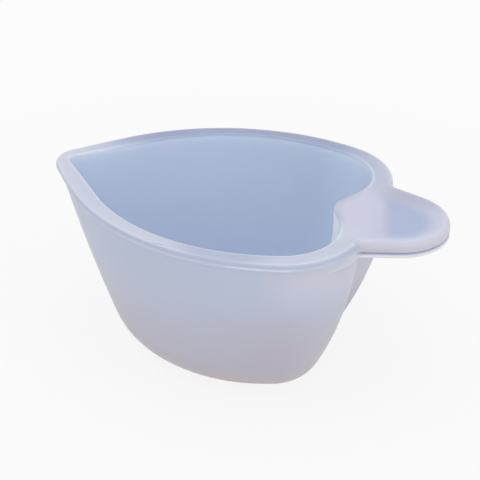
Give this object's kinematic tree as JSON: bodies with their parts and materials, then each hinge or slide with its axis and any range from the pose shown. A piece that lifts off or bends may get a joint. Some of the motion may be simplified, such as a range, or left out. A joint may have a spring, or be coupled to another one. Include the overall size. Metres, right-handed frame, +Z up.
{
  "type": "mixing cup",
  "caption": "Small heart-shaped silicone mixing cup with a pouring spout, a lip round its rim and a flush thumb tab in the cleft between its two lobes.",
  "frame": {"origin": "middle of the flat base's length, on the base face, in the plane that mirrors the cup", "axes": "+X towards the thumb tab, -X towards the spout, +Y across the cup, +Z up through the opening"},
  "size_m": [0.06, 0.0406, 0.0267],
  "materials": {
    "silicone": "satin"
  },
  "bodies": {
    "root": {"cup": "silicone"}
  },
  "joints": []
}
